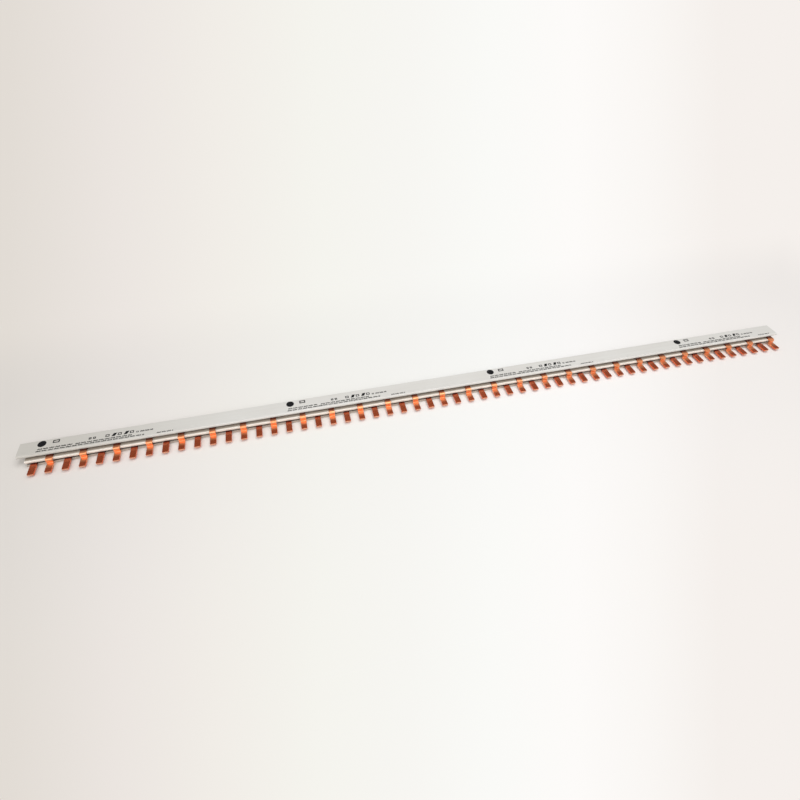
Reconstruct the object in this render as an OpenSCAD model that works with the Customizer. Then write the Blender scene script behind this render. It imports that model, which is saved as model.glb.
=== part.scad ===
// Two-pole comb busbar: two stamped copper combs in a snap-together insulating housing.
// X runs along the bar, -Y is the side where the teeth stand out, and Z = 0 is the
// surface that the carrier lies on. All sizes are in millimetres.

/* [Combs] */
// Number of teeth, both combs together
ways = 56; // [4:2:56]
// Distance from one tooth to the next, one breaker pole
pitch = 17.8; // [17:0.1:19]
// Width of a tooth
tooth_w = 7; // [5:0.1:9]
// Thickness of the copper strip
strip_t = 2; // [1.5:0.1:2.5]
// How far the teeth stand out in front of the nose
tooth_reach = 16.6; // [14:0.1:22]
// Width of the strip that joins the teeth, hidden in its slot
spine_w = 12; // [8:0.1:14]
// How far each strip stops short of the carrier's ends
spine_inset = 1; // [0.5:0.1:1.2]
// Radius of the root between a tooth and its strip
root_r = 1.5; // [0.5:0.1:3]
// Corner cut off each side of a tooth's tip
tip_cut = 0.7; // [0.3:0.1:1.5]

/* [Joggle of the upper teeth] */
// Inner radius of both bends
bend_r = 0.8; // [0.5:0.1:1.2]
// Air between the nose and the back of the upright part
joggle_gap = 1.5; // [0.6:0.1:3]

/* [Carrier] */
// Thickness of the floor under the lower comb
floor_t = 2.6; // [2:0.1:4]
// Thickness of the nose that parts the two combs
nose_t = 3.3; // [2.5:0.1:5]
// Rounding of the nose's two front edges
nose_r = 1.1; // [0.5:0.1:1.2]
// Rounding of the floor's front edges
floor_r = 0.6; // [0.3:0.1:1]
// Depth of the lower slot, and of the ledge that the upper comb lies on
slot_depth = 21; // [18:0.1:26]
// Thickness of the web behind the slots
web_t = 2.5; // [2:0.1:4]
// Air above each strip in its slot
slot_play = 0.3; // [0.1:0.05:0.5]
// Air behind each strip in its slot
back_play = 0.4; // [0.1:0.1:1]
// Left end of the carrier to the edge of the first tooth
left_margin = 4.9; // [1.4:0.1:9]
// Edge of the last tooth to the right end of the carrier
right_margin = 1.4; // [1.4:0.1:9]

/* [Cover] */
// Thickness of the cover's top
cover_t = 2.6; // [2:0.1:4]
// Thickness of the cover's back wall
cover_back_t = 2.5; // [2:0.1:4]
// How far the cover's lip stays behind the nose
lip_setback = 4.6; // [2:0.1:7]
// Rounding of the lip
lip_r = 2.2; // [1:0.1:2.4]
// Rounding of the cover's upper back edge
back_r = 1; // [0.3:0.1:2]
// Radius of the bead that snaps the cover to the carrier
bead_r = 0.7; // [0.4:0.05:0.8]
// Air around the bead in its groove
bead_play = 0.1; // [0.05:0.05:0.2]
// How far the cover runs past each end of the carrier, to take an end cap
cover_over = 8.1; // [5:0.1:12]

/* [Hidden] */
$fn = 48;
// Overrun of a cutting tool, so that no two faces coincide in a cut
cut = 1;

// Along X
carrier_len = left_margin + (ways - 1) * pitch + tooth_w + right_margin;
cover_len = carrier_len + 2 * cover_over;
first_tooth = -carrier_len / 2 + left_margin + tooth_w / 2;
spine_len = carrier_len - 2 * spine_inset;

// Across the bar, from the tips of the teeth to the back of the cover
depth = tooth_reach + slot_depth + web_t + cover_back_t;
tip_y = -depth / 2;
nose_y = tip_y + tooth_reach;
lip_y = nose_y + lip_setback;
slot_back = nose_y + slot_depth;
web_back = slot_back + web_t;
cover_back = web_back + cover_back_t;
spine_back = slot_back - back_play;
spine_front = spine_back - spine_w;

// Upwards
slot_h = strip_t + slot_play;
lower_z = floor_t;
ledge_z = lower_z + slot_h + nose_t;
cover_z = ledge_z + slot_h;
top_z = cover_z + cover_t;
bead_z = (lower_z + ledge_z) / 2;

// The joggle, seen from the end of the bar: down from the ledge to the lower strip's level
bend_out = bend_r + strip_t;
upright_back = nose_y - joggle_gap;
upright_front = upright_back - strip_t;

// ---- Shapes that repeat ----

// A rectangle from (y0, z0) to (y1, z1) whose front corners are rounded
module front_rounded(y0, z0, y1, z1, lower_r, upper_r) {
    difference() {
        translate([y0, z0]) square([y1 - y0, z1 - z0]);
        corner_off(y0, z0, lower_r, 1, 1);
        corner_off(y0, z1, upper_r, 1, -1);
    }
}

// What is cut away to round a corner at (y, z); sy and sz point into the material
module corner_off(y, z, r, sy, sz) {
    translate([y, z]) scale_signs(sy, sz) difference() {
        translate([-cut, -cut]) square(r + cut);
        translate([r, r]) circle(r);
    }
}

// Mirrors a 2D shape on either axis
module scale_signs(sy, sz) {
    mirror([sy < 0 ? 1 : 0, 0]) mirror([0, sz < 0 ? 1 : 0]) children();
}

// Extrudes a section drawn in Y and Z along X, from x0 for a length
module along_x(x0, length) {
    translate([x0, 0, 0]) rotate([90, 0, 90]) linear_extrude(length) children();
}

// A quarter of a bent strip round (y, z), in the quadrant that sy and sz name
module bend(y, z, sy, sz) {
    translate([y, z]) scale_signs(sy, sz) difference() {
        intersection() {
            circle(bend_out);
            square(bend_out);
        }
        circle(bend_r);
    }
}

// Plan of a tooth about X = 0, from the spine forward to y_end
module tooth_plan(y_end, tip) {
    half = tooth_w / 2;
    polygon([
        [-half, spine_front + cut], [half, spine_front + cut],
        [half, y_end + tip], [half - tip, y_end],
        [-half + tip, y_end], [-half, y_end + tip]
    ]);
}

// Plan of the fillet between the spine and one side of a tooth about X = 0
module root_fillet(side) {
    translate([side * tooth_w / 2, spine_front]) scale_signs(side, -1) difference() {
        translate([-cut, -cut]) square(root_r + cut);
        translate([root_r, root_r]) circle(root_r);
    }
}

// Flat part of a comb at height z, whose teeth are every second one, counted from first.
// A root fillet is left out where the strip is cut off beside its tooth.
module flat_comb(z, first, y_end, tip) {
    translate([-spine_len / 2, spine_front, z]) cube([spine_len, spine_w, strip_t]);
    for (i = [first : 2 : ways - 1]) {
        x = first_tooth + i * pitch;
        translate([x, 0, z]) linear_extrude(strip_t) {
            tooth_plan(y_end, tip);
            for (side = [-1, 1])
                if (abs(x + side * (tooth_w / 2 + root_r)) <= spine_len / 2) root_fillet(side);
        }
    }
}

// Joggle and contact run of an upper tooth, in Y and Z
module joggle_section() {
    bend_z = ledge_z + strip_t - bend_out;
    foot_z = lower_z + bend_out;
    bend(upright_front + bend_out, bend_z, -1, 1);
    translate([upright_front, foot_z]) square([strip_t, bend_z - foot_z]);
    bend(upright_back - bend_out, foot_z, 1, -1);
    translate([tip_y + tip_cut, lower_z]) square([upright_back - bend_out - tip_y - tip_cut, strip_t]);
}

// Tapered end of a tooth, from the tip back by its corner cut
module tooth_tip() {
    half = tooth_w / 2;
    translate([0, tip_y, lower_z]) linear_extrude(strip_t)
        polygon([[-half + tip_cut, 0], [half - tip_cut, 0], [half, tip_cut], [-half, tip_cut]]);
}

// ---- Sub-parts ----

// Extruded carrier: floor, lower slot, nose with the upper comb's ledge, and web
module carrier() {
    color("gainsboro") along_x(-carrier_len / 2, carrier_len) difference() {
        union() {
            front_rounded(nose_y, 0, web_back, lower_z, floor_r, floor_r);
            front_rounded(nose_y, lower_z + slot_h, web_back, ledge_z, nose_r, nose_r);
            translate([slot_back, 0]) square([web_t, cover_z]);
        }
        translate([web_back, bead_z]) circle(bead_r + bead_play);
    }
}

// Straight comb in the lower slot
module lower_comb() {
    color("chocolate") union() {
        flat_comb(lower_z, 0, tip_y, tip_cut);
    }
}

// Comb on the ledge, whose teeth step down in front of the nose
module upper_comb() {
    color("peru") union() {
        flat_comb(ledge_z, 1, upright_front + bend_out, 0);
        for (i = [1 : 2 : ways - 1])
            translate([first_tooth + i * pitch, 0, 0]) {
                along_x(-tooth_w / 2, tooth_w) joggle_section();
                tooth_tip();
            }
    }
}

// Extruded cover: top with a rounded lip, back wall and snap bead
module cover() {
    color("lightgray") along_x(-cover_len / 2, cover_len) {
        difference() {
            union() {
                front_rounded(lip_y, cover_z, cover_back, top_z, 0, lip_r);
                translate([web_back, 0]) square([cover_back_t, top_z]);
            }
            corner_off(cover_back, top_z, back_r, -1, -1);
        }
        intersection() {
            translate([web_back, bead_z]) circle(bead_r);
            translate([web_back - bead_r, bead_z - bead_r]) square([bead_r, 2 * bead_r]);
        }
    }
}

carrier();
lower_comb();
upper_comb();
cover();
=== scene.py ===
"""Looks of a two-pole comb busbar: extruded grey housing, stamped copper combs, printed marks.

Everything is in metres, in the CAD's frame: X along the bar, -Y towards the teeth, Z up.
"""

import math

import bmesh
import bpy
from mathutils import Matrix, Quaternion, Vector

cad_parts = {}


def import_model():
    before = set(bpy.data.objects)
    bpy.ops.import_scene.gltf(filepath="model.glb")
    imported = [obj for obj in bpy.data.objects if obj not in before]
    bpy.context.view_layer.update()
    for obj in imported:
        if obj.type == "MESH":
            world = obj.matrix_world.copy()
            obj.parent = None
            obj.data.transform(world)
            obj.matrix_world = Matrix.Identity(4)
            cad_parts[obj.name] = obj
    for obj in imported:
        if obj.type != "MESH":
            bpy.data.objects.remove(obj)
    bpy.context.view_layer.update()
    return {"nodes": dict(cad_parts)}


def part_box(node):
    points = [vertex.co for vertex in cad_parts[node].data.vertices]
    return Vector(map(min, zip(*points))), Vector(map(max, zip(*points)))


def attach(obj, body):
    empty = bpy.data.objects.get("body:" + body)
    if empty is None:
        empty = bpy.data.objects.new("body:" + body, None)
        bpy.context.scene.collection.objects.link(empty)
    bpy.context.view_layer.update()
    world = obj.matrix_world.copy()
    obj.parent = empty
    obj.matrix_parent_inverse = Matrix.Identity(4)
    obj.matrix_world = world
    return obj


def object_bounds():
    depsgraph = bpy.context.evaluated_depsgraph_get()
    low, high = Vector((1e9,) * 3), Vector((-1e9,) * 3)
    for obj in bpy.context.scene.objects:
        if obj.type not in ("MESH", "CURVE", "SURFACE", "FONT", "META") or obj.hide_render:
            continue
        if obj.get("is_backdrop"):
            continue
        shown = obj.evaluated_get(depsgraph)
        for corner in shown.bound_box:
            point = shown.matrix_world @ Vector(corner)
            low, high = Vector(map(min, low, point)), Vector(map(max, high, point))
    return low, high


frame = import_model()
nodes = frame["nodes"]

MM = 0.001

# Camera: where it stands, the point on the floor that it looks at, and its roll
CAMERA_AT = Vector((-0.1695, -0.4426, 0.4537))
CAMERA_AIM = Vector((-0.0604, 0.0043, 0.0))
CAMERA_ROLL = 0.36
LENS = 22.5
SENSOR = 36.0

# Light: an overhead softbox and a lower one in front to the left, each with the point that it is
# aimed at
TOP_AT, TOP_SIZE, TOP_POWER = Vector((0.30, 0.02, 1.7)), (1.5, 1.1), 13.0
TOP_AIM = Vector((0.1, 0, 0))
FRONT_AT, FRONT_SIZE, FRONT_POWER = Vector((-0.7, -1.15, 1.35)), (1.8, 0.9), 7.2
FRONT_AIM = Vector((-0.2, 0, 0))

# Room: its level in front and behind, and the heading's Y over which one turns into the other;
# then the factor on it at the horizon and overhead, and the heading's Z between those
ROOM_FRONT, ROOM_BACK = 0.68, 0.22
ROOM_TURN = (-0.5, 0.72)
ROOM_LOW, ROOM_HIGH = 0.6, 1.1
ROOM_RISE = (0.0, 0.7)

# Floor: its tone sweeps sideways as painted light fall-off, darker to the left, in straight lines
# that fan out from a point behind the camera.
# Within FAN_NEAR of that point, along Y, they run parallel. Each stop has a line's slope, X over
# Y, and the colour there, set after the photographed floor.
FAN_AT = Vector((-0.272, -0.878, 0.0))
FAN_NEAR = 0.30
SWEEP = (
    (-0.28, (226, 220, 213)),
    (-0.15, (235, 229, 224)),
    (-0.02, (241, 237, 231)),
    (0.12, (245, 244, 238)),
    (0.25, (247, 246, 242)),
    (0.38, (250, 250, 247)),
    (0.52, (253, 251, 249)),
    (0.65, (250, 247, 244)),
    (0.78, (245, 240, 236)),
)
# The sweep's middle slope, and the stretch of Y, in front of all that the camera sees, over which
# the whole sweep fades to it
SWEEP_MIDDLE = 0.25
SWEEP_ENDS = (-0.95, -0.42)
# How far the lit paper's colour is mixed towards white, and the distance from the bar's middle
# line, or past its ends, over which it gives way to a backdrop in the sweep's own colour
PAPER_LIFT = 0.12
BACKDROP = (0.10, 0.30)
# Half the side of the floor's square
FLOOR_HALF = 15.0

# Edge softening of the CAD pieces
PLASTIC_EDGE = 0.12 * MM
COPPER_EDGE = 0.18 * MM

# Print on the cover: where each of the four equal blocks starts, from the cover's left end, and
# how far its line of symbols lies in front of the cover's back edge
BLOCK_STARTS = (24 * MM, 306 * MM, 570 * MM, 853 * MM)
DISC_FROM_BACK = 5.9 * MM
INK_T = 0.03 * MM

# Colour marks. Along Y: where painted shade in the carrier's slots begins and is full, the middle
# of a brighter band across the teeth, where a painted reflection on the bent teeth starts and is
# palest, and where each comb's dark oxide with painted shade is half full.
SLOT_SHADE = (-4.2 * MM, -1.6 * MM)
BRIGHT_BAND = -9.6 * MM
BEND_REFLECTION = (-17.0 * MM, -12.5 * MM)
LOWER_OXIDE_SHADE = -6.9 * MM
UPPER_OXIDE_SHADE = -3.6 * MM
# Along Z: over which the painted shade on the carrier's foot fades out, and over which the dark
# painted shade of the lower slot turns into the paler painted shade of the ledge.
FOOT_SHADE = (3.0 * MM, 4.6 * MM)
LEDGE = (5.5 * MM, 7.5 * MM)
# Along X: where the painted shade darkening the cover's left end is full, and where it has faded.
LEFT_SHADE = (-0.50, -0.22)


# ---------------------------------------------------------------- materials


class Graph:
    """A material's node tree, with short calls for the few nodes that the materials here use."""

    def __init__(self, name):
        self.material = bpy.data.materials.new(name)
        self.material.use_nodes = True
        self.tree = self.material.node_tree
        self.bsdf = self.tree.nodes["Principled BSDF"]
        coordinates = self.add("ShaderNodeTexCoord").outputs
        self.place = coordinates["Object"]
        self.normal = coordinates["Normal"]

    def add(self, kind, **settings):
        node = self.tree.nodes.new(kind)
        for key, value in settings.items():
            setattr(node, key, value)
        return node

    def link(self, source, target):
        self.tree.links.new(source, target)

    def feed(self, socket, value):
        """Sets a socket to a constant, or links an output to it."""
        if isinstance(value, bpy.types.NodeSocket):
            self.link(value, socket)
        else:
            socket.default_value = value

    def rescaled(self, scale):
        """The object's coordinates in metres, scaled by a different factor on each axis."""
        node = self.add("ShaderNodeMapping")
        node.inputs["Scale"].default_value = scale
        self.link(self.place, node.inputs["Vector"])
        return node.outputs["Vector"]

    def noise(self, scale, detail=3.0, rough=0.5):
        node = self.add("ShaderNodeTexNoise")
        node.inputs["Scale"].default_value = 1.0
        node.inputs["Detail"].default_value = detail
        node.inputs["Roughness"].default_value = rough
        self.link(self.rescaled(scale), node.inputs["Vector"])
        return node.outputs["Fac"]

    def axis(self, vector, letter):
        node = self.add("ShaderNodeSeparateXYZ")
        self.link(vector, node.inputs[0])
        return node.outputs[letter]

    def math(self, operation, a, b=0.0):
        node = self.add("ShaderNodeMath", operation=operation)
        self.feed(node.inputs[0], a)
        self.feed(node.inputs[1], b)
        return node.outputs[0]

    def spread(self, value, low, high, out_low=0.0, out_high=1.0, smooth=False):
        """Maps value from low..high to out_low..out_high, held at both ends."""
        node = self.add("ShaderNodeMapRange")
        node.interpolation_type = "SMOOTHSTEP" if smooth else "LINEAR"
        for socket, number in zip(node.inputs[1:5], (low, high, out_low, out_high)):
            socket.default_value = number
        self.link(value, node.inputs[0])
        return node.outputs[0]

    def mix(self, factor, a, b):
        """Mixes two colours."""
        node = self.add("ShaderNodeMix", data_type="RGBA")
        self.feed(node.inputs[0], factor)
        self.feed(node.inputs[6], a)
        self.feed(node.inputs[7], b)
        return node.outputs[2]

    def bump(self, height, depth, strength=1.0):
        node = self.add("ShaderNodeBump")
        node.inputs["Distance"].default_value = depth
        node.inputs["Strength"].default_value = strength
        self.link(height, node.inputs["Height"])
        self.link(node.outputs["Normal"], self.bsdf.inputs["Normal"])


def colour(red, green, blue):
    """A colour given in sRGB from 0 to 255, as the linear values that sockets take."""
    def linear(value):
        value /= 255
        return value / 12.92 if value <= 0.04045 else ((value + 0.055) / 1.055) ** 2.4
    return (linear(red), linear(green), linear(blue), 1.0)


def pvc(name, light, shade, dull, slots=False, shaded_left=False):
    """Extruded PVC: faint die lines along X, clouding and matte grain; painted shade in slots, on
    the foot and at the left end.
    """
    g = Graph(name)
    die_lines = g.noise((2.0, 900.0, 900.0), detail=4.0, rough=0.65)
    clouds = g.noise((14.0, 60.0, 60.0), detail=3.0)
    grain = g.noise((2600.0, 2600.0, 2600.0), detail=2.0)
    tone = g.math("ADD", g.math("MULTIPLY", die_lines, 0.55), g.math("MULTIPLY", clouds, 0.45))
    skin = g.mix(g.spread(tone, 0.35, 0.65), shade, light)
    if slots:
        inward = g.spread(g.axis(g.place, "Y"), *SLOT_SHADE, smooth=True)
        height = g.axis(g.place, "Z")
        # Painted shade on the carrier's foot, below the lower slot, fading out upwards.
        foot_shade = g.spread(height, *FOOT_SHADE, 1.0, 0.0)
        skin = g.mix(foot_shade, skin, colour(190, 178, 166))
        # Painted shade deep in the slots: dark in the lower slot, paler on the ledge under the
        # cover, weaker on faces across X.
        slot_shade = g.mix(g.spread(height, *LEDGE), colour(62, 52, 44), colour(156, 144, 131))
        sideways = g.math("ABSOLUTE", g.axis(g.normal, "X"))
        along = g.spread(sideways, 0.3, 0.7, 1.0, 0.12)
        skin = g.mix(g.math("MULTIPLY", inward, along), skin, slot_shade)
    if shaded_left:
        # Painted shade: the cover's left end is darkened where the light falls off.
        left = g.spread(g.axis(g.place, "X"), *LEFT_SHADE, 1.0, 0.0, smooth=True)
        skin = g.mix(left, skin, colour(206, 202, 194))
    g.link(skin, g.bsdf.inputs["Base Color"])
    g.link(g.spread(grain, 0.3, 0.7, dull - 0.07, dull + 0.07), g.bsdf.inputs["Roughness"])
    g.bsdf.inputs["Specular IOR Level"].default_value = 0.5
    relief = g.math("ADD", g.math("MULTIPLY", die_lines, 0.8), g.math("MULTIPLY", grain, 0.35))
    g.bump(relief, 0.02 * MM, 0.5)
    return g.material


def copper(name, slot_y, bent=False):
    """Stamped copper: rolled grain, patchy tarnish, dark oxide with painted shade past slot_y,
    bright cut ends.

    Bent teeth get a paler painted reflection and turn duller towards their bends.
    """
    g = Graph(name)
    blotches = g.noise((170.0, 170.0, 170.0), detail=4.0, rough=0.6)
    fine = g.noise((900.0, 900.0, 900.0), detail=3.0)
    rolled = g.noise((260.0, 3200.0, 3200.0), detail=3.0, rough=0.6)
    clean = (0.90, 0.19, 0.07, 1.0)
    tarnished = (0.72, 0.13, 0.045, 1.0)
    oxide_shade = (0.10, 0.008, 0.004, 1.0)
    y = g.axis(g.place, "Y")
    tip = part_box("lower_comb")[0].y
    depth = g.spread(y, slot_y - 1.5 * MM, slot_y + 1.5 * MM, smooth=True)
    worn = g.math("ADD", g.math("MULTIPLY", blotches, 0.75), g.math("MULTIPLY", fine, 0.25))
    skin = g.mix(g.spread(worn, 0.38, 0.66), clean, tarnished)
    # A brighter band across the teeth.
    from_band = g.math("ABSOLUTE", g.math("SUBTRACT", y, BRIGHT_BAND))
    banded = g.spread(from_band, 0.5 * MM, 1.6 * MM, 0.5, 0.0, smooth=True)
    skin = g.mix(banded, skin, (1.0, 0.30, 0.14, 1.0))
    rough = g.spread(worn, 0.3, 0.7, 0.22, 0.33)
    if bent:
        # Painted reflection: the runs of the bent teeth turn paler towards their bends; they are
        # also made duller there.
        rescaled = g.spread(y, *BEND_REFLECTION, smooth=True)
        skin = g.mix(rescaled, skin, (1.0, 0.38, 0.17, 1.0))
        rough = g.math("ADD", rough, g.math("MULTIPLY", rescaled, 0.08))
    # Dark oxide with painted shade, deepening past slot_y into the housing.
    skin = g.mix(g.math("MULTIPLY", depth, 0.93), skin, oxide_shade)
    cut_end = g.spread(g.axis(g.normal, "Y"), -0.98, -0.85, 1.0, 0.0)
    at_tip = g.spread(y, tip + 0.4 * MM, tip + 1.2 * MM, 1.0, 0.0)
    bright = g.math("MULTIPLY", cut_end, at_tip)
    g.link(g.mix(bright, skin, (0.82, 0.42, 0.28, 1.0)), g.bsdf.inputs["Base Color"])
    g.bsdf.inputs["Metallic"].default_value = 1.0
    g.bsdf.inputs["Coat Weight"].default_value = 0.25
    g.bsdf.inputs["Coat Roughness"].default_value = 0.2
    g.link(rough, g.bsdf.inputs["Roughness"])
    relief = g.math("ADD", g.math("MULTIPLY", rolled, 0.6), g.math("MULTIPLY", fine, 0.4))
    g.bump(relief, 0.02 * MM, 0.5)
    return g.material


def ink(name):
    """Pad-printed ink, slightly uneven."""
    g = Graph(name)
    uneven = g.noise((700.0, 700.0, 700.0), detail=4.0, rough=0.7)
    g.link(
        g.mix(g.spread(uneven, 0.35, 0.7), colour(16, 16, 18), colour(38, 38, 41)),
        g.bsdf.inputs["Base Color"],
    )
    g.bsdf.inputs["Roughness"].default_value = 0.7
    g.bsdf.inputs["Specular IOR Level"].default_value = 0.15
    g.bump(uneven, 0.005 * MM, 0.3)
    return g.material


def paper(name):
    """Pale studio floor: lit paper by the bar, and beyond it a backdrop that only views see."""
    g = Graph(name)
    x = g.axis(g.place, "X")
    y = g.axis(g.place, "Y")
    # The sweep is painted light fall-off: the floor darker to the left and again at the far right.
    reach = g.math("MAXIMUM", g.math("SUBTRACT", y, FAN_AT.y), FAN_NEAR)
    sweep = g.math("DIVIDE", g.math("SUBTRACT", x, FAN_AT.x), reach)
    in_view = g.spread(y, *SWEEP_ENDS, smooth=True)
    off_middle = g.math("MULTIPLY", g.math("SUBTRACT", sweep, SWEEP_MIDDLE), in_view)
    sweep = g.math("ADD", off_middle, SWEEP_MIDDLE)
    ramp = g.add("ShaderNodeValToRGB")
    g.link(g.spread(sweep, SWEEP[0][0], SWEEP[-1][0]), ramp.inputs[0])
    span = SWEEP[-1][0] - SWEEP[0][0]
    ends = ramp.color_ramp.elements
    for number, (at, tint) in enumerate(SWEEP):
        place = (at - SWEEP[0][0]) / span
        stop = ends[number] if number < 2 else ends.new(place)
        stop.position = place
        stop.color = colour(*tint)
    fibres = g.noise((900.0, 900.0, 900.0), detail=3.0)
    lit = g.mix(PAPER_LIFT, ramp.outputs["Color"], (1.0, 1.0, 1.0, 1.0))
    g.link(lit, g.bsdf.inputs["Base Color"])
    g.bump(fibres, 0.01 * MM, 0.2)
    g.bsdf.inputs["Roughness"].default_value = 0.9
    g.bsdf.inputs["Specular IOR Level"].default_value = 0.1
    beside = g.math("SUBTRACT", g.math("ABSOLUTE", x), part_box("cover")[1].x)
    away = g.math("MAXIMUM", g.math("ABSOLUTE", y), beside)
    path = g.add("ShaderNodeLightPath").outputs
    seen = g.math("MAXIMUM", path["Is Camera Ray"], path["Is Glossy Ray"])
    seen = g.math("MAXIMUM", seen, path["Is Transmission Ray"])
    glow = g.add("ShaderNodeEmission")
    g.link(ramp.outputs["Color"], glow.inputs["Color"])
    blend = g.add("ShaderNodeMixShader")
    g.link(g.math("MULTIPLY", seen, g.spread(away, *BACKDROP, smooth=True)), blend.inputs[0])
    g.link(g.bsdf.outputs[0], blend.inputs[1])
    g.link(glow.outputs[0], blend.inputs[2])
    g.link(blend.outputs[0], g.tree.nodes["Material Output"].inputs["Surface"])
    return g.material


# ---------------------------------------------------------------- CAD pieces


def soften(node, width):
    """Breaks the sharp edges of a CAD node by a hair, without changing its mesh or size."""
    weld = node.modifiers.new("weld", "WELD")
    weld.merge_threshold = 0.002 * MM
    bevel = node.modifiers.new("broken edges", "BEVEL")
    bevel.width = width
    bevel.segments = 2
    bevel.limit_method = "ANGLE"
    bevel.angle_limit = math.radians(50)
    bevel.harden_normals = False
    node.modifiers.new("even shading", "WEIGHTED_NORMAL")


def dress(node, material, edge):
    node.data.materials.clear()
    node.data.materials.append(material)
    soften(node, edge)


# ---------------------------------------------------------------- print


class Print:
    """Flat closed shapes of ink on a plane, gathered in one mesh."""

    def __init__(self, origin):
        self.mesh = bmesh.new()
        self.origin = origin

    def slab(self, outline):
        """A closed slab of ink with that outline, given as (x, y) from the origin."""
        bottom = [self.mesh.verts.new(self.origin + Vector((x, y, 0))) for x, y in outline]
        top = [self.mesh.verts.new(v.co + Vector((0, 0, INK_T))) for v in bottom]
        self.mesh.faces.new(bottom[::-1])
        self.mesh.faces.new(top)
        count = len(outline)
        for i in range(count):
            j = (i + 1) % count
            self.mesh.faces.new((bottom[i], bottom[j], top[j], top[i]))

    def bar(self, x, y, width, height, lean=0.0):
        """A bar whose lower left corner is at (x, y); lean shifts its top edge along X."""
        self.slab([(x, y), (x + width, y), (x + width + lean, y + height), (x + lean, y + height)])

    def disc(self, x, y, radius, sides=32):
        turn = 2 * math.pi / sides
        self.slab([
            (x + radius * math.cos(i * turn), y + radius * math.sin(i * turn)) for i in range(sides)
        ])

    def frame(self, x, y, width, height, line):
        """An open rectangle with its lower left corner at (x, y)."""
        self.bar(x, y, width, line)
        self.bar(x, y + height - line, width, line)
        self.bar(x, y + line, line, height - 2 * line)
        self.bar(x + width - line, y + line, line, height - 2 * line)

    def ticks(self, x, y, end, height, step):
        """A line of small uneven ticks, in groups, from x to end."""
        number = 0
        while x < end:
            if number % 7 != 6:
                tall = height * (0.7 + 0.3 * ((number * 5) % 3) / 2)
                self.bar(x, y, step * 0.8, tall)
            x += step
            number += 1

    def finish(self, name):
        mesh = bpy.data.meshes.new(name)
        self.mesh.to_mesh(mesh)
        self.mesh.free()
        piece = bpy.data.objects.new(name, mesh)
        bpy.context.collection.objects.link(piece)
        return piece


def print_block(sheet, x):
    """One block of marks; x is its disc's centre."""
    sheet.disc(x, 0, 4.7 * MM)
    sheet.frame(x + 11.5 * MM, -1.4 * MM, 7.2 * MM, 4.6 * MM, 1.3 * MM)
    for place in (50.5, 55.2):
        sheet.frame(x + place * MM, -5.2 * MM, 3.0 * MM, 3.2 * MM, 1.0 * MM)
    for number in range(5):
        place = x + (68.6 + 6.7 * number) * MM
        if number % 2:
            sheet.bar(place, -5.8 * MM, 3.8 * MM, 4.8 * MM, lean=2.2 * MM)
        else:
            sheet.frame(place, -5.4 * MM, 4.4 * MM, 3.8 * MM, 1.0 * MM)
    sheet.frame(x + 102.6 * MM, -6.0 * MM, 2.6 * MM, 2.2 * MM, 0.6 * MM)
    sheet.ticks(x + 107 * MM, -5.8 * MM, x + 121 * MM, 2.2 * MM, 0.8 * MM)
    sheet.ticks(x - 3 * MM, -8.9 * MM, x + 33 * MM, 2.0 * MM, 0.9 * MM)
    sheet.ticks(x - 4 * MM, -12.0 * MM, x + 112 * MM, 2.0 * MM, 0.9 * MM)
    sheet.ticks(x + 37 * MM, -9.2 * MM, x + 98 * MM, 1.9 * MM, 0.9 * MM)
    sheet.ticks(x + 126 * MM, -12.6 * MM, x + 144 * MM, 1.7 * MM, 0.8 * MM)


def print_marks():
    low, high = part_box("cover")
    sheet = Print(Vector((low.x, high.y - DISC_FROM_BACK, high.z)))
    for start in BLOCK_STARTS:
        print_block(sheet, start)
    piece = sheet.finish("print_marks")
    piece.data.materials.append(ink("print ink"))
    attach(piece, "root")


# ---------------------------------------------------------------- stage


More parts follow.
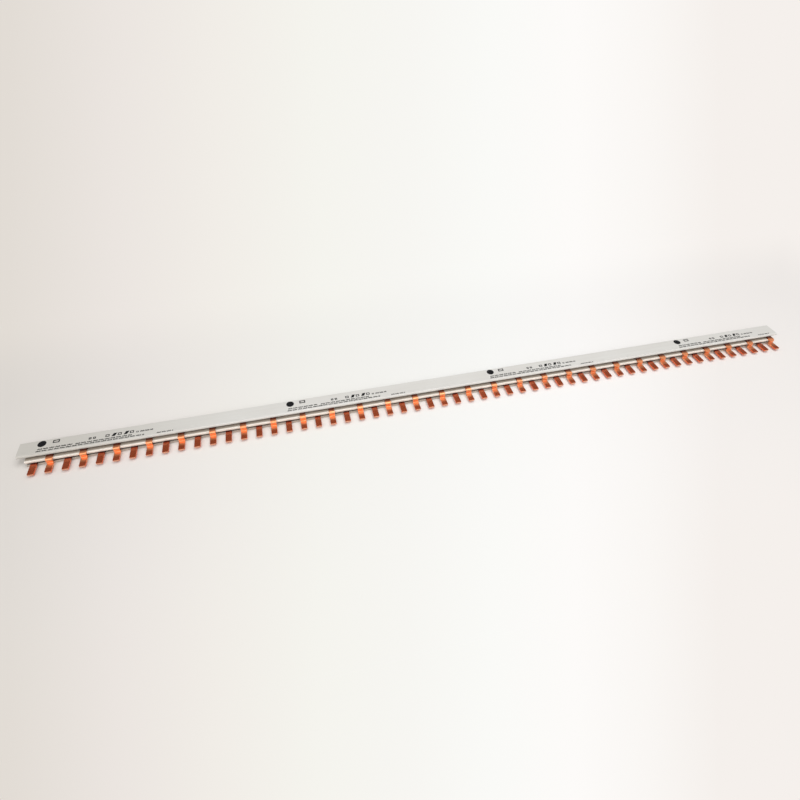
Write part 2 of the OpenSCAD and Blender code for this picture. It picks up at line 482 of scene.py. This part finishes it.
def floor():
    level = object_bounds()[0].z
    half = FLOOR_HALF
    mesh = bpy.data.meshes.new("floor")
    corners = [(-half, -half), (half, -half), (half, half), (-half, half)]
    mesh.from_pydata([(x, y, level) for x, y in corners], [], [(0, 1, 2, 3)])
    plane = bpy.data.objects.new("floor", mesh)
    bpy.context.collection.objects.link(plane)
    mesh.materials.append(paper("studio floor"))
    plane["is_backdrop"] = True


def world():
    """A room lit from the front, darker behind and towards the horizon."""
    backdrop = bpy.data.worlds.new("studio")
    bpy.context.scene.world = backdrop
    backdrop.use_nodes = True
    nodes, links = backdrop.node_tree.nodes, backdrop.node_tree.links
    heading = nodes.new("ShaderNodeSeparateXYZ")
    links.new(nodes.new("ShaderNodeTexCoord").outputs["Generated"], heading.inputs[0])
    levels = []
    for letter, (low, high), first, last in (
        ("Y", ROOM_TURN, ROOM_FRONT, ROOM_BACK), ("Z", ROOM_RISE, ROOM_LOW, ROOM_HIGH)
    ):
        fall = nodes.new("ShaderNodeMapRange")
        fall.interpolation_type = "SMOOTHSTEP"
        for socket, number in zip(fall.inputs[1:5], (low, high, first, last)):
            socket.default_value = number
        links.new(heading.outputs[letter], fall.inputs[0])
        levels.append(fall.outputs[0])
    both = nodes.new("ShaderNodeMath")
    both.operation = "MULTIPLY"
    for level, socket in zip(levels, both.inputs):
        links.new(level, socket)
    background = nodes["Background"]
    background.inputs["Color"].default_value = (1, 1, 1, 1)
    links.new(both.outputs[0], background.inputs["Strength"])


def softbox(name, at, target, size, power):
    light = bpy.data.lights.new(name, "AREA")
    light.shape = "RECTANGLE"
    light.size, light.size_y = size
    light.energy = power
    lamp = bpy.data.objects.new(name, light)
    bpy.context.collection.objects.link(lamp)
    lamp.location = at
    lamp.rotation_mode = "QUATERNION"
    lamp.rotation_quaternion = (target - at).to_track_quat("-Z", "Y")


def camera():
    data = bpy.data.cameras.new("camera")
    data.sensor_width = SENSOR
    data.lens = LENS
    data.clip_start, data.clip_end = 0.01, 60.0
    eye = bpy.data.objects.new("camera", data)
    bpy.context.collection.objects.link(eye)
    look = (CAMERA_AIM - CAMERA_AT).normalized()
    eye.location = CAMERA_AT
    eye.rotation_mode = "QUATERNION"
    roll = Quaternion(look, -math.radians(CAMERA_ROLL))
    eye.rotation_quaternion = roll @ look.to_track_quat("-Z", "Y")
    bpy.context.scene.camera = eye


grey = pvc("cover pvc", colour(228, 226, 221), colour(221, 218, 212), 0.5, shaded_left=True)
# The carrier's near-white colour is a painted highlight along its nose; its warmer tint is partly
# painted light reflected from the copper.
inner_grey = pvc("carrier pvc", colour(252, 244, 233), colour(244, 235, 223), 0.34, slots=True)
dress(nodes["cover"], grey, PLASTIC_EDGE)
dress(nodes["carrier"], inner_grey, PLASTIC_EDGE)
dress(nodes["lower_comb"], copper("lower copper", LOWER_OXIDE_SHADE), COPPER_EDGE)
dress(nodes["upper_comb"], copper("upper copper", UPPER_OXIDE_SHADE, bent=True), COPPER_EDGE)
print_marks()
floor()
world()
softbox("top light", TOP_AT, TOP_AIM, TOP_SIZE, TOP_POWER)
softbox("front light", FRONT_AT, FRONT_AIM, FRONT_SIZE, FRONT_POWER)
camera()

bpy.context.scene.view_settings.view_transform = "Standard"
bpy.context.view_layer.update()
